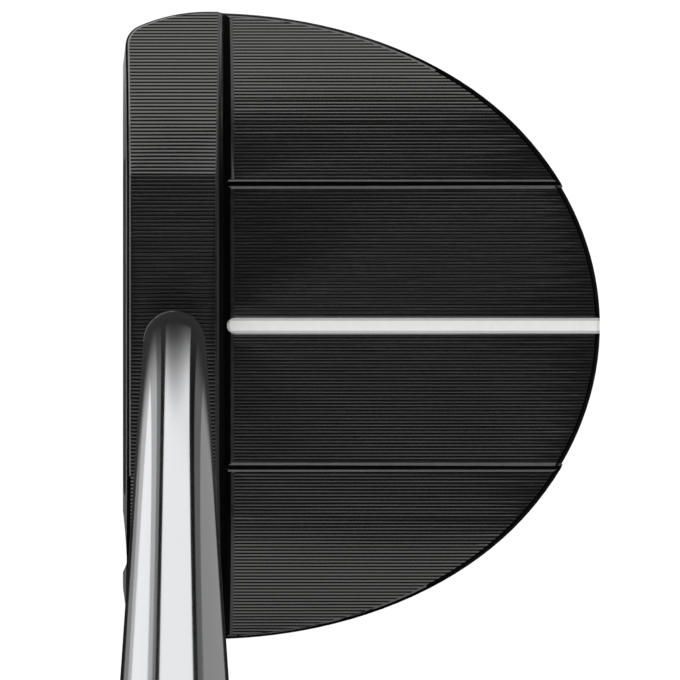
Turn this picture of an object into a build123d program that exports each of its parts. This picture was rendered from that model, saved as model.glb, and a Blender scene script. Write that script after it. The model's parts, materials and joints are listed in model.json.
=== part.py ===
from build123d import *
import math
import os

# Mallet putter, right-handed, in millimetres.
# Frame: origin at the centre of the flat patch of the sole, on the ground.
# +Z is up, the face looks along -Y, the toe is towards -X and the heel towards +X.

# Head, plan view
HALF_SPAN = 53.9  # sightline to toe or heel
SHAFT_X = 2.7  # shaft's bore, towards the heel from the sightline
SHAFT_Y = -26.0  # shaft's bore and middle of the topline
WIDEST_Y = SHAFT_Y + 5.7  # where the outline is widest
REAR_SEMI = 66.0  # outline's ellipse behind the widest place
FRONT_SEMI = 36.0  # and in front of it
FACE_LEAD_Y = SHAFT_Y - 9.5  # face's plane at the ground
FACE_CORNER = 4.5  # rounding between face and toe or heel
LOFT = 4.0  # degrees

# Head, heights
HEAD_HEIGHT = 25.5
DECK_Z = 18.5  # centre of the deck
WING_Z = 19.5  # raised toe and heel parts of the deck
WING_EDGE_X = 24.1
WING_FOOT = 0.8  # fillet at the foot of a wing's edge
WING_FLAT_X = 32.0  # the wing curves down beyond this
WING_RADIUS = 44.0
CREASE_X = 24.5  # the topline slopes down beyond this
CREASE_SLOPE = 11.5  # degrees
CROWN_X = 33.0  # and curves down beyond this
CROWN_RADIUS = 50.9
WALL_FOOT_Y = SHAFT_Y + 8.25  # topline's rear wall meets the deck's centre
WALL_DRAFT = 8.5  # degrees
WALL_FOOT = 1.0  # fillet at the foot of that wall
RIM = 0.75  # rim's bevel
TOPLINE_EDGE = 0.35  # topline's bevels

# Sole
SOLE_FLAT_X = 27.0
SOLE_RADIUS = 120.0  # heel-to-toe curve beyond the flat
SOLE_FLAT_Y = 20.0
LEAD_RISE = 2.9
REAR_RISE = 8.0
UNDER_ROUND = 1.0  # rounding between the outer walls and the sole

# Heel end of the face: a shallow vertical scoop
SCOOP_X = 38.5
SCOOP_RADIUS = 12.0
SCOOP_DEPTH_Y = SHAFT_Y - 7.9

# Sightline
LINE_WIDTH = 2.6
LINE_DEPTH = 1.0
LINE_START_Y = SHAFT_Y + 8.8
LINE_HOLLOW_RADIUS = 6.0
LINE_HOLLOW = 0.14

# Face insert
INSERT_WIDTH = 58.0
INSERT_HEIGHT = 15.0
INSERT_CORNER = 4.0
INSERT_THICK = 2.3
BOND = 0.15
INSERT_MID_Z = 12.0

# Sole plate, its screws and the cavity above it
PLATE_X = 46.0
PLATE_Y = 36.0
PLATE_CORNER = 6.0
PLATE_THICK = 2.5
CAVITY_X = 30.0
CAVITY_Y = 22.0
CAVITY_CORNER = 4.0
CAVITY_HEIGHT = 8.5
DAMPER_GAP = 0.4
SCREW_GRID_X = 36.0
SCREW_GRID_Y = 27.0
SCREW_R = 1.45
SCREW_HEAD_R = 2.8
SCREW_LENGTH = 9.0
SCREW_SOCKET_R = 1.1
THREAD_GAP = 0.02

# Sole weights
WEIGHT_X = 39.0
WEIGHT_Y = 3.0
WEIGHT_R = 7.6
WEIGHT_POCKET_R = 7.8
WEIGHT_FLOOR_Z = 5.0
WEIGHT_HEAD = 3.0
WEIGHT_SHANK_R = 4.0
WEIGHT_SHANK = 7.4
WEIGHT_SOCKET_R = 2.6
SEAL_THICK = 0.5
SEAL_IN_R = 6.2
SEAL_OUT_R = 7.3
BUSH_R = 6.0
BUSH_LENGTH = 7.0

# Shaft
LIE = 71.0  # degrees
CLUB_LENGTH = 864.0  # along the shaft's axis, ground to the end of the grip
TIP_R = 4.7
SHAFT_WALL = 0.45
TIP_Z = 7.0  # shaft's lower end, in its bore
BORE_FLOOR_Z = 6.0
EPOXY = 0.12
BEND_RISE = 15.5  # bend's corner above the topline
BEND_RADIUS = 35.0
PLUG_LENGTH = 8.0
FIRST_STEP = 150.0  # along the axis from the bend's corner
STEP_PITCH = 25.0
STEP_COUNT = 14
STEP_GROWTH = 0.2  # radius added by a step
STEP_CONE = 1.5
BAND_START = 495.0
BAND_LENGTH = 45.0
BAND_THICK = 0.1

# Grip: distance from its lower end, width, flat side's and palm side's reach from the axis, corner
GRIP_LENGTH = 267.0
CAP_THICK = 4.0
TAPE_THICK = 0.25
GRIP_SECTIONS = [
    (0.0, 19.0, 9.2, 9.6, 4.0),
    (70.0, 21.0, 9.6, 11.0, 4.2),
    (150.0, 23.0, 10.0, 13.0, 4.4),
    (215.0, 25.0, 10.4, 17.0, 4.6),
    (263.0, 26.5, 10.8, 19.0, 4.8),
]
VENT_R = 1.2

# Values worked out from the above
RANGE = 120.0  # reach of the cutting solids, past every side of the head
TILT = 90.0 - LIE
LEAN_LENGTH = CLUB_LENGTH - HEAD_HEIGHT - BEND_RISE
BUTT_R = TIP_R + STEP_COUNT * STEP_GROWTH
FACE_TOP_Y = FACE_LEAD_Y + HEAD_HEIGHT * math.tan(math.radians(LOFT))
WING_WALL_Y = WALL_FOOT_Y - (WING_Z - DECK_Z) * math.tan(math.radians(WALL_DRAFT))
BEND = Vector(SHAFT_X, SHAFT_Y, HEAD_HEIGHT + BEND_RISE)
LEAN_DIR = Vector(math.sin(math.radians(TILT)), 0, math.cos(math.radians(TILT)))
FLAT_DIR = Vector(-math.cos(math.radians(TILT)), 0, math.sin(math.radians(TILT)))
SIDES = {"toe": -1, "heel": 1}

os.makedirs("parts", exist_ok=True)


def finish(builder, name):
    """Label a finished piece and write its STEP file."""
    builder.part.label = name
    export_step(builder.part, "parts/" + name + ".step")


def lean_plane(distance):
    """Plane across the leaning shaft; its x axis points out of the grip's flat side."""
    return Plane(origin=BEND + LEAN_DIR * distance, x_dir=FLAT_DIR, z_dir=LEAN_DIR)


def stock_section():
    """Heel-to-toe section of the head's stock: crowned topline above, cambered sole below."""
    edge = HALF_SPAN + 2
    slope = math.radians(CREASE_SLOPE)
    crown_start_z = HEAD_HEIGHT - (CROWN_X - CREASE_X) * math.tan(slope)
    pivot_x = CROWN_X - CROWN_RADIUS * math.sin(slope)
    pivot_z = crown_start_z - CROWN_RADIUS * math.cos(slope)
    crown_z = pivot_z + math.sqrt(CROWN_RADIUS**2 - (edge - pivot_x) ** 2)
    sole_z = SOLE_RADIUS - math.sqrt(SOLE_RADIUS**2 - (edge - SOLE_FLAT_X) ** 2)
    downhill = (math.cos(slope), -math.sin(slope))
    with BuildSketch(Plane.XZ) as section:
        with BuildLine():
            Line((0, 0), (SOLE_FLAT_X, 0))
            TangentArc((SOLE_FLAT_X, 0), (edge, sole_z), tangent=(1, 0))
            Line((edge, sole_z), (edge, crown_z))
            TangentArc((CROWN_X, crown_start_z), (edge, crown_z), tangent=downhill)
            Polyline((CROWN_X, crown_start_z), (CREASE_X, HEAD_HEIGHT), (0, HEAD_HEIGHT), (0, 0))
        make_face()
        mirror(about=Plane.YZ)
    return section.sketch


def deck_cutter_section(plane, foot_y, floor_z):
    """Front-to-back section of the space above the deck, with a drafted wall and a rounded foot."""
    height = 20.0
    with BuildSketch(plane) as section:
        with BuildLine():
            wall = Polyline(
                (foot_y - height * math.tan(math.radians(WALL_DRAFT)), floor_z + height),
                (foot_y, floor_z),
                (RANGE, floor_z),
            )
            fillet(wall.vertices().sort_by_distance((foot_y, floor_z, 0))[0], WALL_FOOT)
            Polyline(
                (RANGE, floor_z),
                (RANGE, floor_z + height),
                (foot_y - height * math.tan(math.radians(WALL_DRAFT)), floor_z + height),
            )
        make_face()
    return section.sketch


def on_outline(edge):
    """Whether an edge lies on the head's upright outer wall."""
    middle = edge @ 0.5
    semi = REAR_SEMI if middle.Y > WIDEST_Y else FRONT_SEMI
    return abs(math.hypot(middle.X / HALF_SPAN, (middle.Y - WIDEST_Y) / semi) - 1) < 0.005


def is_rim(edge):
    """Whether an edge runs round the deck behind the topline."""
    middle = edge @ 0.5
    level = edge.bounding_box().size.Z < HEAD_HEIGHT / 3
    return on_outline(edge) and level and middle.Y > WALL_FOOT_Y and middle.Z > HEAD_HEIGHT / 2.3


def is_topline_front(edge):
    """Whether an edge borders the topline on the face's side or at the toe or heel."""
    middle = edge @ 0.5
    front = middle.Y < FACE_TOP_Y + 0.5
    end = middle.Y < SHAFT_Y + 6 and abs(middle.X) > HALF_SPAN * 0.93
    return middle.Z > HEAD_HEIGHT / 2.3 and (front or end)


def is_topline_back(edge):
    """Whether an edge lies between the topline and its rear wall."""
    middle = edge @ 0.5
    return WING_WALL_Y - 2 < middle.Y < WING_WALL_Y - 0.1 and middle.Z > WING_Z + 1.5


def is_underside(edge):
    """Whether an edge lies between the outer walls and the sole."""
    middle = edge @ 0.5
    level = edge.bounding_box().size.Z < HEAD_HEIGHT / 3
    low = middle.Z < REAR_RISE + 1
    return low and level and (on_outline(edge) or middle.Y < FACE_LEAD_Y + 2.5)


def head_outline(height, inset=0.0):
    """Plan of the head at a height: two half ellipses that meet where it is widest."""
    span = HALF_SPAN - inset
    with BuildSketch(Plane.XY.offset(height)) as outline:
        with BuildLine():
            EllipticalCenterArc((0, WIDEST_Y), span, REAR_SEMI - inset, start_angle=0, arc_size=180)
            EllipticalCenterArc((0, WIDEST_Y), span, FRONT_SEMI - inset, start_angle=180, arc_size=180)
        make_face()
    return outline.sketch


def face_plane(depth=0.0):
    """Plane of the lofted face, moved into the head by a depth."""
    slope = math.radians(LOFT)
    outward = Vector(0, -math.cos(slope), math.sin(slope))
    middle = Vector(0, FACE_LEAD_Y + INSERT_MID_Z * math.tan(slope), INSERT_MID_Z)
    return Plane(origin=middle - outward * depth, x_dir=(1, 0, 0), z_dir=outward)


def sightline_space():
    """Round-ended slot that holds the sightline, open at the rear."""
    with BuildPart() as space:
        with BuildSketch(Plane.XY.offset(DECK_Z - LINE_DEPTH)):
            with Locations((0, LINE_START_Y + LINE_WIDTH / 2)):
                Circle(LINE_WIDTH / 2)
                Rectangle(LINE_WIDTH, RANGE, align=(Align.CENTER, Align.MIN))
        extrude(amount=HEAD_HEIGHT)
    return space.part


def grip_section(distance, width, flat_reach, palm_reach, corner):
    """Grip's section at a distance along the shaft: flat in front, half an ellipse at the palm."""
    half = width / 2
    with BuildSketch(lean_plane(distance)) as section:
        with BuildLine():
            Line((0, half), (flat_reach - corner, half))
            RadiusArc((flat_reach - corner, half), (flat_reach, half - corner), corner)
            Line((flat_reach, half - corner), (flat_reach, corner - half))
            RadiusArc((flat_reach, corner - half), (flat_reach - corner, -half), corner)
            Line((flat_reach - corner, -half), (0, -half))
            EllipticalCenterArc((0, 0), palm_reach, half, start_angle=90, arc_size=180)
        make_face()
    return section.sketch


def shaft_outline(inset):
    """Half-section of the stepped shaft above its bend, with its radius made smaller by an inset."""
    points = [(0, 0), (0, TIP_R - inset)]
    radius = TIP_R
    for step in range(STEP_COUNT):
        place = FIRST_STEP + step * STEP_PITCH
        points.append((place, radius - inset))
        radius += STEP_GROWTH
        points.append((place + STEP_CONE, radius - inset))
    points.append((LEAN_LENGTH - CAP_THICK, radius - inset))
    points.append((LEAN_LENGTH - CAP_THICK, 0))
    return points


def shaft_solid(inset):
    """Solid along the shaft's axis: upright tip, bend, and stepped leaning part."""
    run = FIRST_STEP / 2
    lower_end = Vector(SHAFT_X, SHAFT_Y, TIP_Z)
    with BuildPart() as solid:
        with BuildLine():
            FilletPolyline(lower_end, BEND, BEND + LEAN_DIR * run, radius=BEND_RADIUS)
        with BuildSketch(Plane(origin=lower_end, z_dir=(0, 0, 1))):
            Circle(TIP_R - inset)
        sweep()
        with BuildSketch(Plane(origin=BEND, x_dir=LEAN_DIR, z_dir=(0, -1, 0))) as half:
            with BuildLine():
                Polyline(*shaft_outline(inset), close=True)
            make_face()
            with Locations((run / 2, 0)):
                Rectangle(run, 4 * TIP_R, mode=Mode.SUBTRACT)
        revolve(axis=Axis(BEND, LEAN_DIR))
    return solid.part


# The head's outer shape, before its pockets are cut
with BuildPart() as head_blank:
    extrude(stock_section(), amount=RANGE, both=True)
    extrude(head_outline(-1), amount=HEAD_HEIGHT + 2, mode=Mode.INTERSECT)
    slope = math.tan(math.radians(LOFT))
    rear = RANGE / 2
    rear_rise = REAR_RISE * (rear - SOLE_FLAT_Y) / (WIDEST_Y + REAR_SEMI - SOLE_FLAT_Y)
    with BuildSketch(Plane.YZ) as side:
        with BuildLine():
            Polyline(
                (FACE_LEAD_Y + LEAD_RISE * slope, LEAD_RISE),
                (FACE_LEAD_Y + 2 * HEAD_HEIGHT * slope, 2 * HEAD_HEIGHT),
                (rear, 2 * HEAD_HEIGHT),
                (rear, rear_rise),
                (SOLE_FLAT_Y, 0),
                (-SOLE_FLAT_Y, 0),
                close=True,
            )
        make_face()
    extrude(amount=RANGE, both=True, mode=Mode.INTERSECT)

    # Corners between the face and the toe and heel
    corners = head_blank.edges().filter_by(
        lambda e: e.center().Y < FACE_LEAD_Y + 4 and abs(e.center().X) > HALF_SPAN * 0.8
    )
    fillet(corners.filter_by(lambda e: e.bounding_box().size.Z > HEAD_HEIGHT / 3), FACE_CORNER)

    # Deck: a flat centre and raised wings that curve down towards the toe and heel
    flat_section = deck_cutter_section(Plane.YZ, WING_WALL_Y, WING_Z)
    extrude(flat_section, amount=WING_FLAT_X, both=True, mode=Mode.SUBTRACT)
    pivot_z = WING_Z - WING_RADIUS
    for side_sign in SIDES.values():
        wing_plane = Plane.YZ.offset(side_sign * WING_FLAT_X)
        revolve(
            deck_cutter_section(wing_plane, WING_WALL_Y, WING_Z),
            axis=Axis((side_sign * WING_FLAT_X, 0, pivot_z), (0, side_sign, 0)),
            revolution_arc=50,
            mode=Mode.SUBTRACT,
        )

    # Bevelled rim and topline, rounded underside
    chamfer(head_blank.edges().filter_by(is_rim), RIM)
    chamfer(head_blank.edges().filter_by(is_topline_back), TOPLINE_EDGE)
    chamfer(head_blank.edges().filter_by(is_topline_front), TOPLINE_EDGE)
    fillet(head_blank.edges().filter_by(is_underside), UNDER_ROUND)

# Space above the deck's flat centre
with BuildPart() as centre_cutter:
    extrude(deck_cutter_section(Plane.YZ, WALL_FOOT_Y, DECK_Z), amount=WING_EDGE_X, both=True)
    floor_edges = centre_cutter.edges().filter_by(Axis.Y).group_by(Axis.Z)[0]
    fillet(floor_edges, WING_FOOT)

# Space outside the bevelled rim of that centre
with BuildPart() as bevelled_slab:
    add(head_outline(DECK_Z - 3 * RIM, -2 * RIM))
    add(head_outline(DECK_Z, RIM))
    loft(ruled=True)

with BuildPart() as centre_rim_cutter:
    with BuildSketch(Plane.XY.offset(DECK_Z - 2 * RIM)):
        Rectangle(2 * (WING_EDGE_X - WING_FOOT), RANGE, align=(Align.CENTER, Align.MIN))
    extrude(amount=3 * RIM)
    add(bevelled_slab.part, mode=Mode.SUBTRACT)

# The whole outer shape
with BuildPart() as head_stock:
    add(head_blank.part)
    add(centre_cutter.part, mode=Mode.SUBTRACT)
    add(centre_rim_cutter.part, mode=Mode.SUBTRACT)
    with BuildSketch(Plane.XY) as scoop:
        with Locations((SCOOP_X, SCOOP_DEPTH_Y - SCOOP_RADIUS)):
            Circle(SCOOP_RADIUS)
    extrude(amount=HEAD_HEIGHT, mode=Mode.SUBTRACT)

with BuildPart() as head_body:
    add(head_stock.part)
    add(sightline_space(), mode=Mode.SUBTRACT)
    # Shaft's bore
    with BuildSketch(Plane.XY.offset(BORE_FLOOR_Z)):
        with Locations((SHAFT_X, SHAFT_Y)):
            Circle(TIP_R + EPOXY)
    extrude(amount=HEAD_HEIGHT, mode=Mode.SUBTRACT)
    # Pocket of the face insert
    with BuildSketch(face_plane()):
        RectangleRounded(INSERT_WIDTH, INSERT_HEIGHT, INSERT_CORNER)
    extrude(amount=-INSERT_THICK - BOND, mode=Mode.SUBTRACT)
    # Recess of the sole plate, the cavity above it and the holes of its screws
    with BuildSketch(Plane.XY):
        RectangleRounded(PLATE_X, PLATE_Y, PLATE_CORNER)
    extrude(amount=PLATE_THICK, mode=Mode.SUBTRACT)
    with BuildSketch(Plane.XY.offset(PLATE_THICK)):
        RectangleRounded(CAVITY_X, CAVITY_Y, CAVITY_CORNER)
    extrude(amount=CAVITY_HEIGHT, mode=Mode.SUBTRACT)
    with BuildSketch(Plane.XY.offset(PLATE_THICK)):
        with GridLocations(SCREW_GRID_X, SCREW_GRID_Y, 2, 2):
            Circle(SCREW_R + THREAD_GAP)
    extrude(amount=SCREW_LENGTH, mode=Mode.SUBTRACT)
    # Pockets of the sole weights, with the bores of their bushes
    with BuildSketch(Plane.XY):
        for side_sign in SIDES.values():
            with Locations((side_sign * WEIGHT_X, WEIGHT_Y)):
                Circle(WEIGHT_POCKET_R)
    extrude(amount=WEIGHT_FLOOR_Z, mode=Mode.SUBTRACT)
    with BuildSketch(Plane.XY.offset(WEIGHT_FLOOR_Z)):
        for side_sign in SIDES.values():
            with Locations((side_sign * WEIGHT_X, WEIGHT_Y)):
                Circle(BUSH_R)
    extrude(amount=BUSH_LENGTH, mode=Mode.SUBTRACT)
    with BuildSketch(Plane.XY.offset(WEIGHT_FLOOR_Z + BUSH_LENGTH)):
        for side_sign in SIDES.values():
            with Locations((side_sign * WEIGHT_X, WEIGHT_Y)):
                Circle(WEIGHT_SHANK_R)
    extrude(amount=1, mode=Mode.SUBTRACT)
finish(head_body, "head_body")

with BuildPart() as sightline_inlay:
    add(head_stock.part)
    add(sightline_space(), mode=Mode.INTERSECT)
    hollow_z = DECK_Z - LINE_HOLLOW + LINE_HOLLOW_RADIUS
    with BuildSketch(Plane.XZ):
        with Locations((0, hollow_z)):
            Circle(LINE_HOLLOW_RADIUS)
    extrude(amount=RANGE, both=True, mode=Mode.SUBTRACT)
finish(sightline_inlay, "sightline_inlay")

with BuildPart() as face_adhesive:
    with BuildSketch(face_plane(INSERT_THICK + BOND)):
        RectangleRounded(INSERT_WIDTH, INSERT_HEIGHT, INSERT_CORNER)
    extrude(amount=BOND)
finish(face_adhesive, "face_adhesive")

with BuildPart() as face_insert:
    with BuildSketch(face_plane(INSERT_THICK)):
        RectangleRounded(INSERT_WIDTH, INSERT_HEIGHT, INSERT_CORNER)
    extrude(amount=INSERT_THICK)
finish(face_insert, "face_insert")

SINK = SCREW_HEAD_R - SCREW_R  # depth of a countersink of 90 degrees
HEAD_LAND = 0.2  # short upright wall above a countersunk head

with BuildPart() as sole_plate:
    with BuildSketch(Plane.XY):
        RectangleRounded(PLATE_X, PLATE_Y, PLATE_CORNER)
        with GridLocations(SCREW_GRID_X, SCREW_GRID_Y, 2, 2):
            Circle(SCREW_R + THREAD_GAP, mode=Mode.SUBTRACT)
    extrude(amount=PLATE_THICK)
    with Locations((0, 0, HEAD_LAND)):
        with GridLocations(SCREW_GRID_X, SCREW_GRID_Y, 2, 2):
            bottom = (Align.CENTER, Align.CENTER, Align.MIN)
            Cone(SCREW_HEAD_R, SCREW_R, SINK, align=bottom, mode=Mode.SUBTRACT)
    with GridLocations(SCREW_GRID_X, SCREW_GRID_Y, 2, 2):
        Cylinder(SCREW_HEAD_R, HEAD_LAND, align=bottom, mode=Mode.SUBTRACT)
finish(sole_plate, "sole_plate")

with BuildPart() as sole_plate_screws:
    with Locations((0, 0, HEAD_LAND)):
        with GridLocations(SCREW_GRID_X, SCREW_GRID_Y, 2, 2):
            Cone(SCREW_HEAD_R, SCREW_R, SINK, align=bottom)
            Cylinder(SCREW_R, SCREW_LENGTH - HEAD_LAND, align=bottom)
    with BuildSketch(Plane.XY.offset(HEAD_LAND)):
        with GridLocations(SCREW_GRID_X, SCREW_GRID_Y, 2, 2):
            RegularPolygon(SCREW_SOCKET_R, 6)
    extrude(amount=SINK, mode=Mode.SUBTRACT)
finish(sole_plate_screws, "sole_plate_screws")

with BuildPart() as cavity_damper:
    with BuildSketch(Plane.XY.offset(PLATE_THICK)):
        RectangleRounded(CAVITY_X - 2 * DAMPER_GAP, CAVITY_Y - 2 * DAMPER_GAP, CAVITY_CORNER - DAMPER_GAP)
        with GridLocations(CAVITY_X / 4, 0, 3, 1):
            Circle(CAVITY_X / 12, mode=Mode.SUBTRACT)
    extrude(amount=CAVITY_HEIGHT)
finish(cavity_damper, "cavity_damper")

for side_name, side_sign in SIDES.items():
    place = (side_sign * WEIGHT_X, WEIGHT_Y)
    with BuildPart() as weight:
        with BuildSketch(Plane.XY.offset(WEIGHT_FLOOR_Z - SEAL_THICK - WEIGHT_HEAD)):
            with Locations(place):
                Circle(WEIGHT_R)
        extrude(amount=WEIGHT_HEAD)
        chamfer(weight.faces().sort_by(Axis.Z)[0].edges(), 0.4)
        with BuildSketch(Plane.XY.offset(WEIGHT_FLOOR_Z - SEAL_THICK)):
            with Locations(place):
                Circle(WEIGHT_SHANK_R)
        extrude(amount=WEIGHT_SHANK)
        with BuildSketch(Plane.XY):
            with Locations(place):
                RegularPolygon(WEIGHT_SOCKET_R, 6)
        extrude(amount=WEIGHT_FLOOR_Z, mode=Mode.SUBTRACT)
    finish(weight, side_name + "_weight")

    with BuildPart() as seal:
        with BuildSketch(Plane.XY.offset(WEIGHT_FLOOR_Z - SEAL_THICK)):
            with Locations(place):
                Circle(SEAL_OUT_R)
                Circle(SEAL_IN_R, mode=Mode.SUBTRACT)
        extrude(amount=SEAL_THICK)
    finish(seal, side_name + "_weight_seal")

    with BuildPart() as bush:
        with BuildSketch(Plane.XY.offset(WEIGHT_FLOOR_Z)):
            with Locations(place):
                Circle(BUSH_R)
                Circle(WEIGHT_SHANK_R + THREAD_GAP, mode=Mode.SUBTRACT)
        extrude(amount=BUSH_LENGTH)
    finish(bush, side_name + "_weight_bush")

with BuildPart() as shaft:
    add(shaft_solid(0))
    add(shaft_solid(SHAFT_WALL), mode=Mode.SUBTRACT)
finish(shaft, "shaft")

with BuildPart() as shaft_epoxy:
    with BuildSketch(Plane.XY.offset(BORE_FLOOR_Z)):
        with Locations((SHAFT_X, SHAFT_Y)):
            Circle(TIP_R + EPOXY)
    extrude(amount=TIP_Z - BORE_FLOOR_Z)
    with BuildSketch(Plane.XY.offset(TIP_Z)):
        with Locations((SHAFT_X, SHAFT_Y)):
            Circle(TIP_R + EPOXY)
            Circle(TIP_R, mode=Mode.SUBTRACT)
    extrude(amount=HEAD_HEIGHT - TIP_Z)
finish(shaft_epoxy, "shaft_epoxy")

with BuildPart() as shaft_tip_plug:
    with BuildSketch(Plane.XY.offset(TIP_Z)):
        with Locations((SHAFT_X, SHAFT_Y)):
            Circle(TIP_R - SHAFT_WALL)
    extrude(amount=PLUG_LENGTH)
finish(shaft_tip_plug, "shaft_tip_plug")

with BuildPart() as shaft_band:
    with BuildSketch(lean_plane(BAND_START)):
        Circle(BUTT_R + BAND_THICK)
        Circle(BUTT_R, mode=Mode.SUBTRACT)
    extrude(amount=BAND_LENGTH)
finish(shaft_band, "shaft_band")

GRIP_START = LEAN_LENGTH - GRIP_LENGTH
TAPE_MARGIN = 3.0  # the tape starts this far inside the grip's mouth

with BuildPart() as grip_tape:
    with BuildSketch(lean_plane(GRIP_START + TAPE_MARGIN)):
        Circle(BUTT_R + TAPE_THICK)
        Circle(BUTT_R, mode=Mode.SUBTRACT)
    extrude(amount=GRIP_LENGTH - CAP_THICK - TAPE_MARGIN)
finish(grip_tape, "grip_tape")

with BuildPart() as grip:
    for place, width, flat_reach, palm_reach, corner in GRIP_SECTIONS:
        add(grip_section(GRIP_START + place, width, flat_reach, palm_reach, corner))
    loft()
    with BuildSketch(lean_plane(GRIP_START)):
        Circle(BUTT_R + TAPE_THICK)
    extrude(amount=GRIP_LENGTH, mode=Mode.SUBTRACT)
finish(grip, "grip")

with BuildPart() as grip_cap:
    place, width, flat_reach, palm_reach, corner = GRIP_SECTIONS[-1]
    add(grip_section(GRIP_START + place, width, flat_reach, palm_reach, corner))
    extrude(amount=CAP_THICK)
    chamfer(grip_cap.faces().sort_by(Axis(BEND, LEAN_DIR))[-1].edges(), 1.2)
    with BuildSketch(lean_plane(LEAN_LENGTH - CAP_THICK)):
        Circle(BUTT_R - SHAFT_WALL - THREAD_GAP)
    extrude(amount=-CAP_THICK)
    with BuildSketch(lean_plane(LEAN_LENGTH)):
        Circle(VENT_R)
    extrude(amount=-2 * CAP_THICK, mode=Mode.SUBTRACT)
finish(grip_cap, "grip_cap")
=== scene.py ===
import json
import math

import bmesh
import bpy
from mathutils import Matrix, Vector


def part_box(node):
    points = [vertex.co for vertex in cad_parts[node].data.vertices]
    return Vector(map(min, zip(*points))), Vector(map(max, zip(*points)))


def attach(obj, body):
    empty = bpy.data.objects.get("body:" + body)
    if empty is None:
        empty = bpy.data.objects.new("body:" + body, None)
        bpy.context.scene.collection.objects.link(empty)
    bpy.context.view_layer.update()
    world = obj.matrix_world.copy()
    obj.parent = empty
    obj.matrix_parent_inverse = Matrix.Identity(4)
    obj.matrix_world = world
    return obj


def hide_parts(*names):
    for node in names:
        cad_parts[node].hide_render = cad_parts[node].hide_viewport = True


# A mallet putter on a pale floor, looked down on as its player does. Lengths are in metres.
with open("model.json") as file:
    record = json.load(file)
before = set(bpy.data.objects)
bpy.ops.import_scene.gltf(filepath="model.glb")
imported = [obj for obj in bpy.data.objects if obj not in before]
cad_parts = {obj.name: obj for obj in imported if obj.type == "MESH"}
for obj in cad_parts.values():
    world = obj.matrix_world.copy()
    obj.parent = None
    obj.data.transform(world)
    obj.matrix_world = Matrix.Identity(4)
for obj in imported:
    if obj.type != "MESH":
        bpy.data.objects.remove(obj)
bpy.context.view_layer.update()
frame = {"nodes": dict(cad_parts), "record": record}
nodes = frame["nodes"]
mounts = {mount["name"]: mount for mount in frame["record"]["mounts"]}
MM = 0.001

# Places read from the frame
head_low, head_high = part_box("head_body")
epoxy_low, epoxy_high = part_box("shaft_epoxy")
line_low, line_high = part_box("sightline_inlay")
shaft_low, shaft_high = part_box("shaft")
TOP_Z = head_high.z
BORE_X = (epoxy_low.x + epoxy_high.x) / 2
BORE_Y = (epoxy_low.y + epoxy_high.y) / 2
DECK_Z = line_high.z
LEAN = Vector(mounts["grip_hold"]["axis"]).normalized()
GRIP_HOLD = Vector(mounts["grip_hold"]["pos_m"])
BEND = GRIP_HOLD - LEAN * ((GRIP_HOLD.x - BORE_X) / LEAN.x)
FLAT = Vector((-LEAN.z, 0, LEAN.x))  # out of the grip's flat side
ACROSS = Vector((1, 0, 0))  # from toe to heel
AHEAD = Vector((0, 1, 0))  # from face to rear
UP = Vector((0, 0, 1))

# Camera
CAMERA_PLACE = Vector((2.4 * MM, BORE_Y, TOP_Z + 214 * MM))
CAMERA_LENS = 69.6706  # in millimetres, on a sensor 36 mm wide
CAMERA_SHIFT = 0.2434

# Head's top surfaces
WING_Z = DECK_Z + 1.0 * MM
WING_FLAT_X = 32.0 * MM
WING_RADIUS = 44.0 * MM
CREASE_X = 24.5 * MM
CREASE_SLOPE = math.radians(11.5)
CROWN_X = 33.0 * MM
CROWN_RADIUS = 50.9 * MM
BEHIND_WALL_Y = BORE_Y + 9.2 * MM  # just behind the topline's rear wall
TOPLINE_REAR = 8.0 * MM  # the topline's rear edge is less than this behind the bore
TOPLINE_BEVEL = 0.35 * MM
STEP_RIM_GAP = 8.6 * MM  # how far the steps' painted highlight edges end in front of the rearmost point
ON_SURFACE = 0.03 * MM  # how far from a surface a corner may be and still belong to it

# Milled lines, front to back
DECK_PITCH = 0.555 * MM
WING_PITCH = 0.565 * MM
TOPLINE_PITCH = 0.605 * MM
GROOVE_SHARE = 0.48  # part of the pitch
GROOVE_DEPTH = 0.05 * MM
DECK_LINES_X = 23.0 * MM
WING_LINES_X = 24.3 * MM
FOOT_STRIP = 0.55 * MM  # smooth strip in front of the deck's lines
DECK_BORDER = 0.30 * MM  # unlined border along the rim
SHADED_RIM_Y = 17.0 * MM  # that border gets painted shade behind this
TOPLINE_BORDER = 0.26 * MM
DECK_LINES_Y = BORE_Y + 10.0 * MM
FOOT_Y = DECK_LINES_Y - FOOT_STRIP

# Shaft
TIP_R = 4.7 * MM
BEND_RADIUS = 35.0 * MM
FIRST_STEP = 150.0 * MM
STEP_PITCH = 25.0 * MM
STEP_COUNT = 14
STEP_GROWTH = 0.2 * MM
STEP_CONE = 1.5 * MM
SHAFT_SIDES = 96
BEND_RINGS = 24


# ---------------------------------------------------------------- materials
def new_material(name):
    """A new node material and its principled shader."""
    material = bpy.data.materials.new(name)
    material.use_nodes = True
    return material, material.node_tree.nodes["Principled BSDF"]


def link(material, source, target):
    material.node_tree.links.new(source, target)


def object_noise(material, scale, stretch=(1, 1, 1)):
    """Noise fixed to the object's own coordinates, stretched along its axes."""
    tree = material.node_tree
    coordinates = tree.nodes.new("ShaderNodeTexCoord")
    mapping = tree.nodes.new("ShaderNodeMapping")
    mapping.inputs["Scale"].default_value = stretch
    noise = tree.nodes.new("ShaderNodeTexNoise")
    noise.inputs["Scale"].default_value = scale
    noise.inputs["Detail"].default_value = 4.0
    link(material, coordinates.outputs["Object"], mapping.inputs["Vector"])
    link(material, mapping.outputs["Vector"], noise.inputs["Vector"])
    return noise.outputs["Fac"]


def spread(material, source, low, high):
    """Map noise onto a range of values."""
    node = material.node_tree.nodes.new("ShaderNodeMapRange")
    node.inputs["From Min"].default_value = 0.3
    node.inputs["From Max"].default_value = 0.7
    node.inputs["To Min"].default_value = low
    node.inputs["To Max"].default_value = high
    link(material, source, node.inputs["Value"])
    return node.outputs["Result"]


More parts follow.
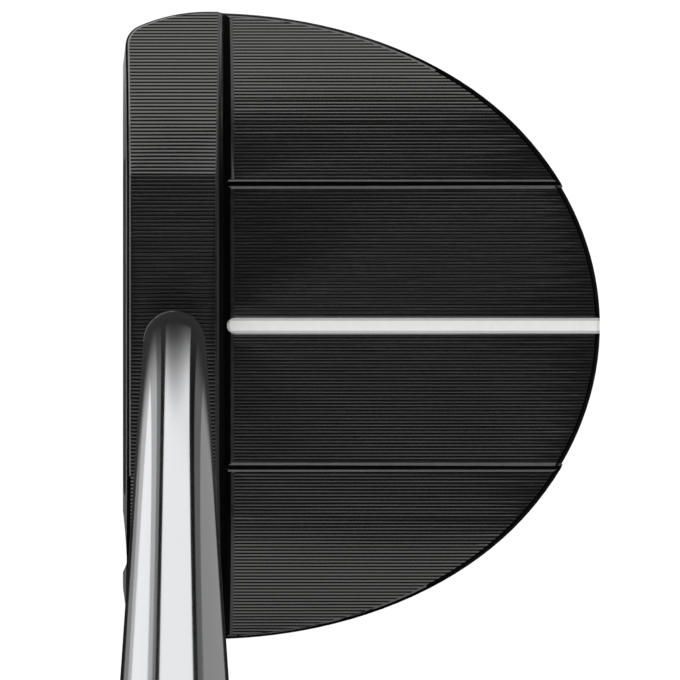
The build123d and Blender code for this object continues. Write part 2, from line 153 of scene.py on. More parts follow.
def bump(material, shader, source, distance, strength=0.5):
    node = material.node_tree.nodes.new("ShaderNodeBump")
    node.inputs["Strength"].default_value = strength
    node.inputs["Distance"].default_value = distance
    link(material, source, node.inputs["Height"])
    link(material, node.outputs["Normal"], shader.inputs["Normal"])


def finish(
    name, color, roughness, metallic=0.0, grain=900, stretch=(1, 1, 1), vary=0.12, relief=0.0, specular=0.5
):
    """A finish whose colour, roughness and relief vary a little with noise."""
    material, shader = new_material(name)
    shader.inputs["Metallic"].default_value = metallic
    shader.inputs["Specular IOR Level"].default_value = specular
    noise = object_noise(material, grain, stretch)
    ramp = material.node_tree.nodes.new("ShaderNodeValToRGB")
    ramp.color_ramp.elements[0].position = 0.3
    ramp.color_ramp.elements[1].position = 0.7
    ramp.color_ramp.elements[0].color = (*((1 - vary) * part for part in color), 1)
    ramp.color_ramp.elements[1].color = (*(min(1.0, (1 + vary) * part) for part in color), 1)
    link(material, noise, ramp.inputs["Fac"])
    link(material, ramp.outputs["Color"], shader.inputs["Base Color"])
    link(material, spread(material, noise, 0.85 * roughness, 1.15 * roughness), shader.inputs["Roughness"])
    if relief:
        bump(material, shader, noise, relief)
    return material


ALONG_Y = (1, 0.04, 1)  # grain drawn out front to back
ALONG_X = (0.05, 1, 1)  # and from toe to heel
LAND_BLACK = finish("milled_land", (0.14, 0.14, 0.137), 0.25, 1.0, 2500, ALONG_Y, vary=0.06)
# Painted shade: the grooves of the milled lines get an almost black finish that barely reflects
GROOVE_PAINTED_SHADE = finish("milled_groove_painted_shade", (0.002, 0.002, 0.002), 0.5, 0.0, 2500, ALONG_Y, vary=0.1, specular=0.1)
SMOOTH_BLACK = finish("smooth_black", (0.13, 0.13, 0.13), 0.16, 1.0, 900, vary=0.05)
WALL_BLACK = finish("wall_black", (0.075, 0.075, 0.077), 0.36, 1.0, 1400, (1, 1, 0.1), 0.15, 0.00001)
FRONT_GREY = finish("front_grey", (0.24, 0.24, 0.243), 0.45, 0.3, 1400, (0.1, 1, 1), 0.12, 0.00001)
# Painted shade: an almost black finish that reflects next to nothing, for bevels, step walls and dark borders
EDGE_PAINTED_SHADE = finish("edge_painted_shade", (0.001, 0.001, 0.001), 0.5, 0.0, 900, vary=0.1, specular=0.02)
# Painted highlight: a lighter finish for the thin light lines along edges and steps
EDGE_PAINTED_HIGHLIGHT = finish("edge_painted_highlight", (0.30, 0.30, 0.295), 0.55, 1.0, 900, vary=0.06)
CHROME = finish("chrome_plate", (0.715, 0.72, 0.733), 0.09, 1.0, 60, (1, 1, 0.2), 0.01)
WHITE = finish("white_fill", (0.74, 0.74, 0.73), 0.38, 0.0, 700, vary=0.02, relief=0.000002)
# Painted shade: a darker copy of the white for the sightline fill's edges
WHITE_EDGE_SHADE = finish("white_fill_edge_shade", (0.44, 0.44, 0.44), 0.45, 0.0, 700, vary=0.04)
FACE = finish("face_metal", (0.29, 0.29, 0.295), 0.32, 1.0, 2000, ALONG_X)
STEEL = finish("blasted_steel", (0.5, 0.5, 0.5), 0.42, 1.0, 3000, vary=0.15, relief=0.00001)
WEIGHT_STEEL = finish("weight_steel", (0.42, 0.42, 0.43), 0.28, 1.0, 1600, vary=0.1)
# Dark steel of the sole plate's screws, and painted shade in the face insert's grooves
DARK_STEEL_AND_GROOVE_SHADE = finish("dark_steel_and_groove_shade", (0.10, 0.10, 0.10), 0.38, 1.0, 1200)
BOND = finish("bond", (0.7, 0.62, 0.4), 0.5, grain=600)
RUBBER = finish("rubber", (0.022, 0.022, 0.023), 0.62, 0.0, 1500, vary=0.2, relief=0.00002)
BAND = finish("band_film", (0.05, 0.05, 0.055), 0.3, 0.0, 300)
TAPE = finish("tape_cloth", (0.72, 0.68, 0.55), 0.85, 0.0, 1800)
GRIP_RUBBER = finish("grip_rubber", (0.028, 0.028, 0.03), 0.68, 0.0, 2600, vary=0.25, relief=0.00003)


# ---------------------------------------------------------------- stage
FLOOR_REACH = 12.0
FLOOR_DROP = 0.1 * MM  # below the sole, so that the two don't coincide
FLOOR_GLOW = 0.93
DOME_RADIUS = 14.0
DOME_GLOW = 0.97
CARD_GAP = 0.05 * MM  # between one level of cards and the next


def floor():
    """Pale floor that is clear from below, so that the sole can be seen."""
    mesh = bpy.data.meshes.new("floor")
    level = head_low.z - FLOOR_DROP
    corners = [(side, front) for side in (-1, 1) for front in (-1, 1)]
    mesh.from_pydata([(FLOOR_REACH * x, FLOOR_REACH * y, level) for x, y in corners], [], [(0, 2, 3, 1)])
    plane = bpy.data.objects.new("floor", mesh)
    bpy.context.collection.objects.link(plane)
    material, shader = new_material("floor_white")
    shader.inputs["Base Color"].default_value = (0.15, 0.15, 0.15, 1)
    shader.inputs["Roughness"].default_value = 0.9
    shader.inputs["Specular IOR Level"].default_value = 0.0
    shader.inputs["Emission Color"].default_value = (1, 1, 1, 1)
    shader.inputs["Emission Strength"].default_value = FLOOR_GLOW
    tree = material.node_tree
    side = tree.nodes.new("ShaderNodeNewGeometry")
    clear = tree.nodes.new("ShaderNodeBsdfTransparent")
    mix = tree.nodes.new("ShaderNodeMixShader")
    link(material, side.outputs["Backfacing"], mix.inputs["Fac"])
    link(material, shader.outputs["BSDF"], mix.inputs[1])
    link(material, clear.outputs["BSDF"], mix.inputs[2])
    link(material, mix.outputs["Shader"], tree.nodes["Material Output"].inputs["Surface"])
    mesh.materials.append(material)


def backdrop():
    """Pale dome that only the camera sees, so that reflections keep the dark studio."""
    edit = bmesh.new()
    bmesh.ops.create_icosphere(edit, subdivisions=3, radius=DOME_RADIUS)
    mesh = bpy.data.meshes.new("backdrop")
    edit.to_mesh(mesh)
    edit.free()
    dome = bpy.data.objects.new("backdrop", mesh)
    bpy.context.collection.objects.link(dome)
    material, shader = new_material("backdrop_pale")
    shader.inputs["Base Color"].default_value = (0, 0, 0, 1)
    shader.inputs["Specular IOR Level"].default_value = 0.0
    shader.inputs["Emission Color"].default_value = (1, 1, 1, 1)
    shader.inputs["Emission Strength"].default_value = DOME_GLOW
    mesh.materials.append(material)
    dome.visible_diffuse = False
    dome.visible_glossy = False
    dome.visible_shadow = False


def soft_box(name, tilt, distance, width, length, brightness, glossy=True):
    """Area light that faces the head, tilted off the vertical by degrees towards the heel."""
    light = bpy.data.lights.new(name, "AREA")
    light.shape = "RECTANGLE"
    light.size = width
    light.size_y = length
    light.energy = brightness * math.pi * width * length
    lamp = bpy.data.objects.new(name, light)
    angle = math.radians(tilt)
    lamp.location = (distance * math.sin(angle), BORE_Y, distance * math.cos(angle))
    lamp.rotation_euler = (0, angle, 0)
    lamp.visible_camera = False
    lamp.visible_glossy = glossy
    bpy.context.collection.objects.link(lamp)


def fade_out(material, glow, inner, outer, stretch):
    """Let a glow fade away between two distances in millimetres from the shaft's bore."""
    tree = material.node_tree
    coordinates = tree.nodes.new("ShaderNodeTexCoord")
    mapping = tree.nodes.new("ShaderNodeMapping")
    mapping.inputs["Location"].default_value = (-BORE_X / stretch, -BORE_Y, 0)
    mapping.inputs["Scale"].default_value = (1 / stretch, 1, 0)
    length = tree.nodes.new("ShaderNodeVectorMath")
    length.operation = "LENGTH"
    ramp = tree.nodes.new("ShaderNodeMapRange")
    ramp.interpolation_type = "SMOOTHSTEP"
    ramp.inputs["From Min"].default_value = inner * MM
    ramp.inputs["From Max"].default_value = outer * MM
    clear = tree.nodes.new("ShaderNodeBsdfTransparent")
    mix = tree.nodes.new("ShaderNodeMixShader")
    link(material, coordinates.outputs["Object"], mapping.inputs["Vector"])
    link(material, mapping.outputs["Vector"], length.inputs[0])
    link(material, length.outputs["Value"], ramp.inputs["Value"])
    link(material, ramp.outputs["Result"], mix.inputs["Fac"])
    link(material, glow, mix.inputs[1])
    link(material, clear.outputs["BSDF"], mix.inputs[2])
    return mix.outputs["Shader"]


def card(name, outline, level, brightness, fade=None):
    """Flat studio card that only shows as a reflection. Higher levels cover lower ones."""
    mesh = bpy.data.meshes.new(name)
    height = head_low.z + level * CARD_GAP
    mesh.from_pydata([(x * MM, y * MM, height) for x, y in outline], [], [tuple(range(len(outline)))])
    item = bpy.data.objects.new(name, mesh)
    bpy.context.collection.objects.link(item)
    material = bpy.data.materials.new(name)
    material.use_nodes = True
    tree = material.node_tree
    tree.nodes.clear()
    output = tree.nodes.new("ShaderNodeOutputMaterial")
    emission = tree.nodes.new("ShaderNodeEmission")
    emission.inputs["Strength"].default_value = brightness
    glow = emission.outputs["Emission"]
    if fade:
        glow = fade_out(material, glow, *fade)
    link(material, glow, output.inputs["Surface"])
    mesh.materials.append(material)
    item.visible_camera = False
    item.visible_diffuse = False
    item.visible_shadow = False
    item.visible_transmission = False


# Bands that the shaft mirrors, by distance above its bend. Places across it are parts of its half width,
# from -1 at the face side to 1 at the rear side.
BAND_SETTLE = 30 * MM  # over which an edge goes from its place at the bend to its place far up
BAND_END = 110 * MM
SIDE_START = 14 * MM
SIDE_END = 140 * MM
BAND_COUNT = 12
SIDE_PLACE = 0.93


def mirrored(along, across):
    """Floor point, in millimetres, that the camera sees in the shaft at a place along and across it."""
    outward = FLAT * math.sqrt(1 - across**2) + AHEAD * across
    point = BEND + LEAN * along + outward * TIP_R
    ray = (point - CAMERA_PLACE).normalized()
    bounce = ray - outward * (2 * ray.dot(outward))
    hit = point + bounce * ((head_low.z - point.z) / bounce.z)
    return hit.x / MM, hit.y / MM


def band_edge(far, near, start=0.0, end=BAND_END):
    """Floor line that the shaft mirrors as a band's edge, from its places across far up and at the bend."""
    points = []
    for number in range(BAND_COUNT + 1):
        along = start + (end - start) * number / BAND_COUNT
        across = far + (near - far) * math.exp(-along / BAND_SETTLE)
        points.append(mirrored(along, across))
    return points


FACE_LINE_IN = band_edge(-0.28, -0.25)
FACE_LINE_OUT = band_edge(-0.35, -0.43)
FACE_SOFT_OUT = band_edge(-0.40, -0.63)
FACE_FAR_OUT = band_edge(-0.47, -0.96)
REAR_LINE_IN = band_edge(0.33, 0.55)
REAR_LINE_OUT = band_edge(0.41, 0.81)
REAR_SOFT_OUT = band_edge(0.49, 1.22, SIDE_START)
HEEL_FAR_IN = band_edge(-0.80, -0.57, SIDE_START)
HEEL_SOFT_IN = band_edge(-0.85, -0.88, SIDE_START)
FACE_SIDE = band_edge(-SIDE_PLACE, -SIDE_PLACE, SIDE_START, SIDE_END)
REAR_SIDE = band_edge(SIDE_PLACE, SIDE_PLACE, SIDE_START, SIDE_END)
REAR_CORNERS = [(-250, 400), (400, 400), (400, 240)]
BEHIND_BEND = [(-10, -26)]
BEND_SQUARE = [(-80, -90), (60, -90), (60, 40), (-80, 40)]
BEND_FADE = (22, 34.5, 1.74)  # dark within, clear beyond, and how much longer it is towards the toe


def shaft_cards():
    """Cards round the head that the polished shaft mirrors as bands."""
    card("card_rear", REAR_SOFT_OUT + REAR_CORNERS + REAR_SIDE[::-1], 1, 0.31)
    card("card_rear_soft", REAR_LINE_OUT + REAR_SOFT_OUT[::-1], 1, 0.14)
    card("card_rear_line", REAR_LINE_IN + REAR_LINE_OUT[::-1], 2, 0.01)
    card("card_face_far", FACE_SOFT_OUT + FACE_FAR_OUT[::-1], 1, 0.52)
    card("card_face_soft", FACE_LINE_OUT + FACE_SOFT_OUT[::-1], 1, 0.22)
    card("card_face_line", FACE_LINE_IN + FACE_LINE_OUT[::-1], 2, 0.01)
    card("card_heel", BEHIND_BEND + REAR_SIDE + FACE_SIDE[::-1], 3, 0.01)
    card("card_heel_soft", FACE_SIDE + HEEL_SOFT_IN[::-1], 1, 0.25)
    card("card_heel_far", HEEL_SOFT_IN + HEEL_FAR_IN[::-1], 1, 0.55)
    card("card_bend", BEND_SQUARE, 4, 0.03, BEND_FADE)


def stage():
    floor()
    backdrop()
    shaft_cards()
    world = bpy.data.worlds.new("studio")
    bpy.context.scene.world = world
    world.use_nodes = True
    surround = world.node_tree.nodes["Background"]
    surround.inputs["Color"].default_value = (1, 1, 1, 1)
    surround.inputs["Strength"].default_value = 0.04
    soft_box("overhead", tilt=0, distance=2.6, width=3.0, length=3.0, brightness=2.0, glossy=False)
    soft_box("toe_box", tilt=-55, distance=0.62, width=0.80, length=0.9, brightness=1.1)
    soft_box("heel_box", tilt=42, distance=0.62, width=0.68, length=0.9, brightness=0.7)


def camera():
    """Camera straight above the topline, with the face to the left and the heel below."""
    data = bpy.data.cameras.new("camera")
    data.sensor_width = 36.0
    data.lens = CAMERA_LENS
    data.shift_x = CAMERA_SHIFT
    data.clip_start = 0.02
    item = bpy.data.objects.new("camera", data)
    item.location = CAMERA_PLACE
    item.rotation_euler = (0, 0, math.pi / 2)
    bpy.context.collection.objects.link(item)
    bpy.context.scene.camera = item
    bpy.context.scene.view_settings.view_transform = "Standard"


# ---------------------------------------------------------------- mesh helpers
WELD = 0.0005 * MM
ON_PLANE = 1e-8  # how far from a cutting plane a corner may be and still lie on it


def add_piece(name, mesh, materials, slot_name, *replaced):
    """A new piece of the object that rides on its one body and stands for CAD nodes."""
    piece = bpy.data.objects.new(name, mesh)
    bpy.context.collection.objects.link(piece)
    for material in materials:
        mesh.materials.append(material)
    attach(piece, "root")
    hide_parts(*replaced)
    return piece


def cad_copy(node_name):
    """The CAD node's mesh, welded, for editing."""
    edit = bmesh.new()
    edit.from_mesh(nodes[node_name].data)
    bmesh.ops.remove_doubles(edit, verts=edit.verts, dist=WELD)
    edit.normal_update()
    return edit


def to_mesh(edit, name, sharp_angle=30):
    mesh = bpy.data.meshes.new(name)
    edit.to_mesh(mesh)
    edit.free()
    mesh.set_sharp_from_angle(angle=math.radians(sharp_angle))
    return mesh


def slice_faces(edit, faces, normal, places):
    """Cut faces by parallel planes at rising places along a normal. Returns all their parts."""
    waiting = set(faces)
    done = set()
    for place in sorted(places):
        crossing = []
        for face in list(waiting):
            reach = [corner.co.dot(normal) for corner in face.verts]
            if max(reach) < place:
                waiting.remove(face)
                done.add(face)
            elif min(reach) < place:
                crossing.append(face)
        if not crossing:
            continue
        geometry = set(crossing)
        for face in crossing:
            geometry.update(face.edges)
            geometry.update(face.verts)
        result = bmesh.ops.bisect_plane(
            edit, geom=list(geometry), dist=ON_PLANE, plane_co=normal * place, plane_no=normal
        )
        waiting.update(part for part in result["geom"] if isinstance(part, bmesh.types.BMFace))
    return done | waiting


def groove_places(start, end, pitch):
    """Edges and middles of evenly spaced grooves."""
    half = GROOVE_SHARE * pitch / 2
    count = round((end - start) / pitch)
    middles = [start + (number + 0.5) * pitch for number in range(count)]
    return [middle + offset for middle in middles for offset in (-half, 0, half)]


def score_lines(faces, normal, start, pitch, inward, groove_shade_index, depth):
    """Sink the middles of grooves that are already sliced, and give the grooves their own darker material:
    painted shade in the grooves.
    """
    half = GROOVE_SHARE * pitch / 2

    def from_middle(point):
        turns = (point.dot(normal) - start) / pitch - 0.5
        return abs(turns - round(turns)) * pitch

    for face in faces:
        if from_middle(face.calc_center_median()) < half:
            face.material_index = groove_shade_index
    for corner in {corner for face in faces for corner in face.verts}:
        if from_middle(corner.co) < half / 20:
            corner.co += inward * depth


# ---------------------------------------------------------------- head
# Finish numbers. The groove and edge finishes paint shade, the bright one paints a highlight.
LAND, GROOVE_SHADE, SMOOTH, WALL, EDGE_SHADE, HIGHLIGHT, FRONT = range(7)
HEAD_MATERIALS = [LAND_BLACK, GROOVE_PAINTED_SHADE, SMOOTH_BLACK, WALL_BLACK, EDGE_PAINTED_SHADE, EDGE_PAINTED_HIGHLIGHT, FRONT_GREY]


def deck_height(_x):
    return DECK_Z


def wing_height(x):
    beyond = max(0.0, abs(x) - WING_FLAT_X)
    return WING_Z - WING_RADIUS + math.sqrt(WING_RADIUS**2 - beyond**2)


def topline_height(x):
    """Flat middle, sloping sides, and a crown towards the toe and heel."""
    if abs(x) <= CREASE_X:
        return TOP_Z
    if abs(x) <= CROWN_X:
        return TOP_Z - (abs(x) - CREASE_X) * math.tan(CREASE_SLOPE)
    start_z = TOP_Z - (CROWN_X - CREASE_X) * math.tan(CREASE_SLOPE)
    pivot_x = CROWN_X - CROWN_RADIUS * math.sin(CREASE_SLOPE)
    pivot_z = start_z - CROWN_RADIUS * math.cos(CREASE_SLOPE)
    return pivot_z + math.sqrt(CROWN_RADIUS**2 - (abs(x) - pivot_x) ** 2)


def faces_on(edit, height_at, accept):
    """Faces whose corners all lie on a surface given by its height at each X."""
    return [
        face
        for face in edit.faces
        if face.normal.z > 0.7
        and accept(face.calc_center_median())
        and all(abs(corner.co.z - height_at(corner.co.x)) < ON_SURFACE for corner in face.verts)
    ]


def settle(faces, height_at):
    """Put every corner of the faces on the exact surface."""
    for corner in {corner for face in faces for corner in face.verts}:
        corner.co.z = height_at(corner.co.x)


def inset(edit, faces, width):
    """Draw faces in from their shared border. Returns what is left of them, and the border."""
    made = bmesh.ops.inset_region(edit, faces=faces, thickness=width, use_even_offset=True, use_boundary=True)
    return faces, made["faces"]


def paint_sides(edit):
    """Give every face its finish. The top surfaces get theirs afterwards."""
    for face in edit.faces:
        place = face.calc_center_median()
        is_high = place.z > DECK_Z / 2
        turned_up = face.normal.z > 0.3 and is_high
        rear_wall = face.normal.y > 0.5 and place.y < BEHIND_WALL_Y and is_high
        step_wall = abs(place.x) < CREASE_X and place.z > DECK_Z and place.y > BEHIND_WALL_Y
        # Upturned faces high on the head, the topline's rear wall and the step walls get painted shade.
        if turned_up or rear_wall or step_wall:
            face.material_index = EDGE_SHADE
        elif face.normal.y < -0.9:
            face.material_index = FRONT
        else:
            face.material_index = WALL
        face.smooth = True


def paint_topline_border(border):
    """A painted highlight along the face's edge as far as the heel's crease, painted shade beyond it where
    the topline slopes away, and the plain wall finish along the rear.
    """
    for face in border:
        place = face.calc_center_median()
        if place.y >= BORE_Y:
            face.material_index = WALL
        elif place.x > CREASE_X:
            face.material_index = EDGE_SHADE
        else:
            face.material_index = HIGHLIGHT


def paint_topline_bevel(edit):
    """The bevel along the topline's rear edge keeps the plain wall finish, lighter than the painted shade on
    the wall below it.
    """
    for face in edit.faces:
        place = face.calc_center_median()
        faces_rear = face.normal.y > 0.3 and face.normal.z > 0.5 and place.y < BORE_Y + TOPLINE_REAR
        if face.material_index == EDGE_SHADE and faces_rear and place.z > topline_height(place.x) - TOPLINE_BEVEL:
            face.material_index = WALL


def paint_deck_border(border):
    """Painted highlight along the steps, painted shade along the rear rim and the topline's foot."""
    for face in border:
        place = face.calc_center_median()
        at_step = DECK_LINES_X - DECK_BORDER < abs(place.x) < WING_LINES_X + DECK_BORDER
        if at_step and FOOT_Y < place.y < head_high.y - STEP_RIM_GAP:
            face.material_index = HIGHLIGHT
        elif place.y > SHADED_RIM_Y or place.y < FOOT_Y:
            face.material_index = EDGE_SHADE
        elif place.y < DECK_LINES_Y:
            face.material_index = WALL


def paint_foot(parts):
    """The smooth strip in front of the deck's lines gets the plain wall finish, what lies in front of it
    painted shade, and the strips beside the steps a painted highlight.
    """
    for face in parts:
        place = face.calc_center_median()
        if place.y < FOOT_Y:
            face.material_index = EDGE_SHADE
        elif DECK_LINES_X < abs(place.x) < WING_LINES_X:
            face.material_index = HIGHLIGHT
        elif place.y < DECK_LINES_Y:
            face.material_index = WALL


def mill_lines(edit, surface, height_at, pitch):
    """Cut V grooves that run front to back all over a surface."""
    reach = math.ceil(head_high.x / pitch) * pitch
    for face in surface:
        face.material_index = LAND
    parts = slice_faces(edit, surface, ACROSS, groove_places(-reach, reach, pitch))
    settle(parts, height_at)
    score_lines(parts, ACROSS, -reach, pitch, -UP, GROOVE_SHADE, GROOVE_DEPTH)


def lined_part(faces, nearest_x, furthest_x):
    """Those faces behind the smooth strip whose distance from the sightline lies between two limits."""
    chosen = []
    for face in faces:
        place = face.calc_center_median()
        if place.y > DECK_LINES_Y and nearest_x <= abs(place.x) < furthest_x:
            chosen.append(face)
    return chosen


def head():
    """The head's body with its milled lines, and its borders and edges with painted highlights and painted
    shade.
    """
    edit = cad_copy("head_body")
    paint_sides(edit)
    deck = faces_on(edit, deck_height, lambda place: abs(place.x) < CREASE_X)
    wings = faces_on(edit, wing_height, lambda place: abs(place.x) > DECK_LINES_X)
    topline = faces_on(edit, topline_height, lambda place: place.y < DECK_LINES_Y)
    for face in deck + wings + topline:
        face.material_index = SMOOTH
        face.smooth = False
    settle(wings, wing_height)
    settle(topline, topline_height)
    topline, topline_border = inset(edit, topline, TOPLINE_BORDER)
    paint_topline_border(topline_border)
    paint_topline_bevel(edit)
    wings, wing_border = inset(edit, wings, DECK_BORDER)
    deck, deck_border = inset(edit, deck, DECK_BORDER)
    paint_deck_border(wing_border + deck_border)
    wings = slice_faces(edit, wings, AHEAD, [DECK_LINES_Y])
    deck = slice_faces(edit, deck, AHEAD, [DECK_LINES_Y])
    wings = slice_faces(edit, wings, ACROSS, [-WING_LINES_X, WING_LINES_X])
    deck = slice_faces(edit, deck, ACROSS, [-DECK_LINES_X, DECK_LINES_X])
    parts = slice_faces(edit, wings | deck, AHEAD, [FOOT_Y])
    paint_foot(parts)
    wings = lined_part(parts, WING_LINES_X, head_high.x)
    deck = lined_part(parts, 0, DECK_LINES_X)
    mill_lines(edit, deck, deck_height, DECK_PITCH)
    mill_lines(edit, wings, wing_height, WING_PITCH)
    mill_lines(edit, topline, topline_height, TOPLINE_PITCH)
    mesh = to_mesh(edit, "milled_head", 25)
    piece = add_piece("milled_head", mesh, HEAD_MATERIALS, "black_milled", "head_body")
    piece.visible_glossy = False


# ---------------------------------------------------------------- sightline
LINE_HOLLOW = 0.14 * MM
LINE_ACROSS = 18
# Width of the fill's edge band, which gets painted shade, and of its sloping front
LINE_EDGE_WIDTH = 0.42 * MM
LINE_FRONT_SINK = 0.15  # part of the hollow
RIM = 0.75 * MM


def sightline():
    """White fill with a hollow top, a round front end, a rear end that folds over the rim, and painted shade
    along its edges.
    """
    half = line_high.x
    front_y = line_low.y
    rear_y = line_high.y
    edit = bmesh.new()
    rows = []
    for step in range(LINE_ACROSS + 1):
        x = -half * math.cos(math.pi * step / LINE_ACROSS)
        rounding = half - math.sqrt(max(0.0, half**2 - x**2))
        top = DECK_Z - LINE_HOLLOW * (1 - (x / half) ** 2)
        stations = [
            (front_y + rounding, line_low.z),
            (front_y + rounding, DECK_Z - LINE_HOLLOW * LINE_FRONT_SINK),
            (front_y + rounding + LINE_EDGE_WIDTH, top),
            (rear_y - RIM, top),
            (rear_y, top - RIM),
            (rear_y, line_low.z),
        ]
        rows.append([edit.verts.new((x, y, z)) for y, z in stations])
    for left, right in zip(rows, rows[1:]):
        for near in range(len(left)):
            far = (near + 1) % len(left)
            edit.faces.new((left[near], right[near], right[far], left[far]))
    edit.faces.new(rows[0])
    edit.faces.new(list(reversed(rows[-1])))
    bmesh.ops.remove_doubles(edit, verts=edit.verts, dist=WELD)
    bmesh.ops.recalc_face_normals(edit, faces=edit.faces)
    end = front_y + half
    for face in edit.faces:
        place = face.calc_center_median()
        from_middle = abs(place.x) if place.y > end else math.hypot(place.x, place.y - end)
        # Faces near the fill's edge and round end get the darker white: painted shade.
        face.material_index = 1 if from_middle > half - LINE_EDGE_WIDTH else 0
        face.smooth = True
    mesh = to_mesh(edit, "sightline_fill", 35)
    piece = add_piece("sightline_fill", mesh, [WHITE, WHITE_EDGE_SHADE], "white_enamel", "sightline_inlay")
    piece.visible_glossy = False


# ---------------------------------------------------------------- shaft
def rings_to_mesh(name, rings, sharp_angle=30):
    """A closed tube through rings of points, with its ends capped."""
    edit = bmesh.new()
    loops = [[edit.verts.new(point) for point in ring] for ring in rings]
    for lower, upper in zip(loops, loops[1:]):
        for near in range(len(lower)):
            far = (near + 1) % len(lower)
            edit.faces.new((lower[near], lower[far], upper[far], upper[near]))
    edit.faces.new(list(reversed(loops[0])))
    edit.faces.new(loops[-1])
    bmesh.ops.recalc_face_normals(edit, faces=edit.faces)
    for face in edit.faces:
        face.smooth = True
    return to_mesh(edit, name, sharp_angle)


def circle(centre, direction, radius):
    """Points of a circle across a direction in the XZ plane."""
    up = direction.cross(AHEAD)
    turns = [2 * math.pi * number / SHAFT_SIDES for number in range(SHAFT_SIDES)]
    return [centre + AHEAD * (radius * math.cos(turn)) + up * (radius * math.sin(turn)) for turn in turns]


def shaft():
    """Chrome tube: straight in the head, bent above it, then widening in steps up to the grip."""
    tilt = UP.angle(LEAN)
    setback = BEND_RADIUS * math.tan(tilt / 2)
    pivot = BEND - UP * setback + Vector((BEND_RADIUS, 0, 0))
    rings = [circle(Vector((BORE_X, BORE_Y, shaft_low.z)), UP, TIP_R)]
    for number in range(BEND_RINGS + 1):
        angle = tilt * number / BEND_RINGS
        centre = pivot + Vector((-BEND_RADIUS * math.cos(angle), 0, BEND_RADIUS * math.sin(angle)))
        direction = Vector((math.sin(angle), 0, math.cos(angle)))
        rings.append(circle(centre, direction, TIP_R))
    radius = TIP_R
    for number in range(STEP_COUNT):
        place = FIRST_STEP + number * STEP_PITCH
        rings.append(circle(BEND + LEAN * place, LEAN, radius))
        radius += STEP_GROWTH
        rings.append(circle(BEND + LEAN * (place + STEP_CONE), LEAN, radius))
    top = (shaft_high.z - radius * math.sin(tilt) - BEND.z) / LEAN.z
    rings.append(circle(BEND + LEAN * top, LEAN, radius))
    mesh = rings_to_mesh("stepped_shaft", rings, 12)
    add_piece("stepped_shaft", mesh, [CHROME], "chrome_shaft", "shaft")


# ---------------------------------------------------------------- face insert
FACE_PITCH = 0.9 * MM
FACE_LINE_DEPTH = 0.07 * MM


def face_plate():
    """Face insert with fine lines milled across it, and painted shade in their grooves."""
    edit = cad_copy("face_insert")
    outward = min((face.normal.copy() for face in edit.faces), key=lambda normal: normal.y)
    upward = outward.cross(-ACROSS)
    front = [face for face in edit.faces if face.normal.dot(outward) > 0.999]
    reach = [corner.co.dot(upward) for face in front for corner in face.verts]
    start = min(reach) - FACE_PITCH / 2
    parts = slice_faces(edit, front, upward, groove_places(start, max(reach) + FACE_PITCH, FACE_PITCH))
    score_lines(parts, upward, start, FACE_PITCH, -outward, 1, FACE_LINE_DEPTH)
    mesh = to_mesh(edit, "milled_face", 15)
    piece = add_piece("milled_face", mesh, [FACE, DARK_STEEL_AND_GROOVE_SHADE], "face_metal", "face_insert")
    piece.visible_glossy = False


# ---------------------------------------------------------------- grip
# In millimetres: distance from the lower end, width, flat side's and palm side's reach from the axis,
# corner radius
GRIP_SECTIONS = [
    (0.0, 19.0, 9.2, 9.6, 4.0),
    (70.0, 21.0, 9.6, 11.0, 4.2),
    (150.0, 23.0, 10.0, 13.0, 4.4),
    (215.0, 25.0, 10.4, 17.0, 4.6),
    (263.0, 26.5, 10.8, 19.0, 4.8),
]
GRIP_RINGS = 330
GRIP_END_BAND = 8  # the ribs fade in and out over this at both ends
DIMPLES_START = 12
DIMPLES_END = 250
DIMPLES_FADE = 4
MOUTH_SHARES = (0.84, 0.93, 0.98)  # rings of the mouth's flat end, as parts of the first section
PALM_POINTS = 60
CORNER_POINTS = 6
FLAT_POINTS = 18
DIMPLE = 4.2
DIMPLE_DEPTH = 0.35
RIB_PITCH = 1.6
RIB_DEPTH = 0.14


def eased(low, high, share):
    blend = share * share * (3 - 2 * share)
    return low + (high - low) * (0.5 * share + 0.5 * blend)


def grip_size(place):
    """Width, flat reach, palm reach and corner at a distance in millimetres from the lower end."""
    for lower, upper in zip(GRIP_SECTIONS, GRIP_SECTIONS[1:]):
        if place <= upper[0]:
            share = (place - lower[0]) / (upper[0] - lower[0])
            return [eased(low, high, share) for low, high in zip(lower[1:], upper[1:])]
    return list(GRIP_SECTIONS[-1][1:])


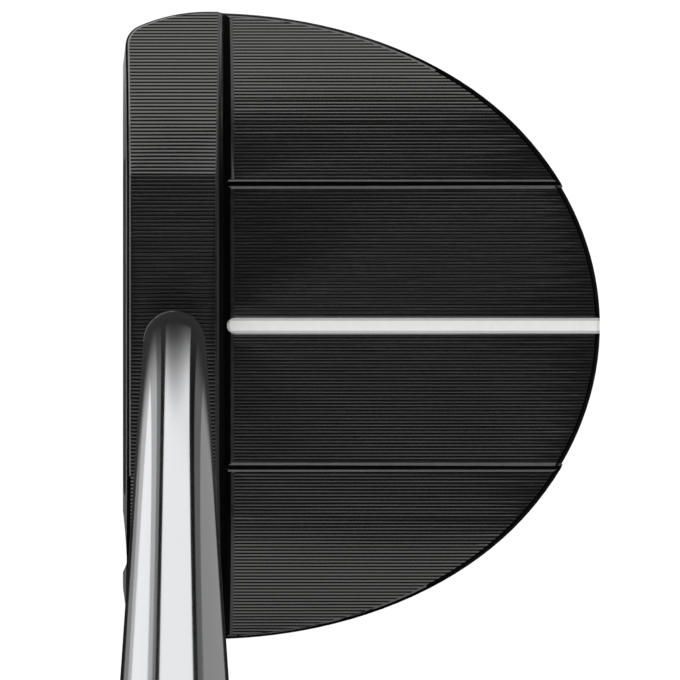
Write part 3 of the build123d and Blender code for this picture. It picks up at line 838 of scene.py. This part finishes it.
def grip_outline(place):
    """Points of a section, as reach towards the flat side and across, with ribs and dimples sunk in."""
    width, flat, palm, corner = grip_size(place)
    half = width / 2
    points = []
    for number in range(FLAT_POINTS + 1):
        across = (half - corner) * (2 * number / FLAT_POINTS - 1)
        rib = RIB_DEPTH * (0.5 - 0.5 * math.cos(2 * math.pi * across / RIB_PITCH))
        from_end = min(place, GRIP_SECTIONS[-1][0] - place)
        share = min(1.0, max(0.0, from_end / GRIP_END_BAND))
        points.append((flat - rib * share, across))
    for number in range(1, CORNER_POINTS + 1):
        turn = math.pi / 2 * number / CORNER_POINTS
        points.append((flat - corner + corner * math.cos(turn), half - corner + corner * math.sin(turn)))
    for number in range(PALM_POINTS + 1):
        turn = math.pi / 2 + math.pi * number / PALM_POINTS
        row = math.pi * place / DIMPLE
        column = math.pi * (turn - math.pi) * half / DIMPLE
        pattern = math.sin(row + column) * math.sin(row - column)
        from_edge = max(0.0, min(place - DIMPLES_START, DIMPLES_END - place)) / DIMPLES_FADE
        from_side = 3 * max(0.0, math.sin(turn - math.pi / 2))
        band = min(1.0, from_edge, from_side)
        sink = DIMPLE_DEPTH * max(0.0, pattern) * band
        points.append(((palm - sink) * math.cos(turn), (half - sink) * math.sin(turn)))
    for number in range(CORNER_POINTS):
        turn = -math.pi / 2 + math.pi / 2 * number / CORNER_POINTS
        points.append((flat - corner + corner * math.cos(turn), corner - half + corner * math.sin(turn)))
    return points


def grip_ring(start, place, scale=1.0):
    """A section of the grip in space, at a distance in millimetres from its lower end."""
    centre = BEND + LEAN * (start + place * MM)
    return [centre + (FLAT * reach + AHEAD * across) * (scale * MM) for reach, across in grip_outline(place)]


def grip():
    """Moulded rubber grip: ribbed flat front, dimpled palm side."""
    low_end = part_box("grip")[0]
    palm_reach = GRIP_SECTIONS[0][3] * MM
    start = (low_end.z - BEND.z + palm_reach * LEAN.x) / LEAN.z
    rings = [grip_ring(start, 0.0, share) for share in MOUTH_SHARES]
    for number in range(GRIP_RINGS + 1):
        rings.append(grip_ring(start, GRIP_SECTIONS[-1][0] * number / GRIP_RINGS))
    mesh = rings_to_mesh("moulded_grip", rings, 40)
    add_piece("moulded_grip", mesh, [GRIP_RUBBER], "grip_rubber", "grip")


# ---------------------------------------------------------------- CAD nodes that keep their shape
FINISHES = {
    "face_adhesive": BOND,
    "sole_plate": STEEL,
    "sole_plate_screws": DARK_STEEL_AND_GROOVE_SHADE,
    "cavity_damper": RUBBER,
    "toe_weight": WEIGHT_STEEL,
    "heel_weight": WEIGHT_STEEL,
    "toe_weight_seal": RUBBER,
    "heel_weight_seal": RUBBER,
    "toe_weight_bush": STEEL,
    "heel_weight_bush": STEEL,
    "shaft_epoxy": BOND,
    "shaft_tip_plug": BAND,
    "shaft_band": BAND,
    "grip_tape": TAPE,
    "grip_cap": RUBBER,
}


def finish_cad_nodes():
    """Give each carried-over CAD node its finish. The shaft mirrors none that are in the head."""
    for node_name, material in FINISHES.items():
        slots = nodes[node_name].data.materials
        slots.clear()
        slots.append(material)
        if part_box(node_name)[1].z <= TOP_Z:
            nodes[node_name].visible_glossy = False


camera()
stage()
head()
sightline()
shaft()
face_plate()
grip()
finish_cad_nodes()
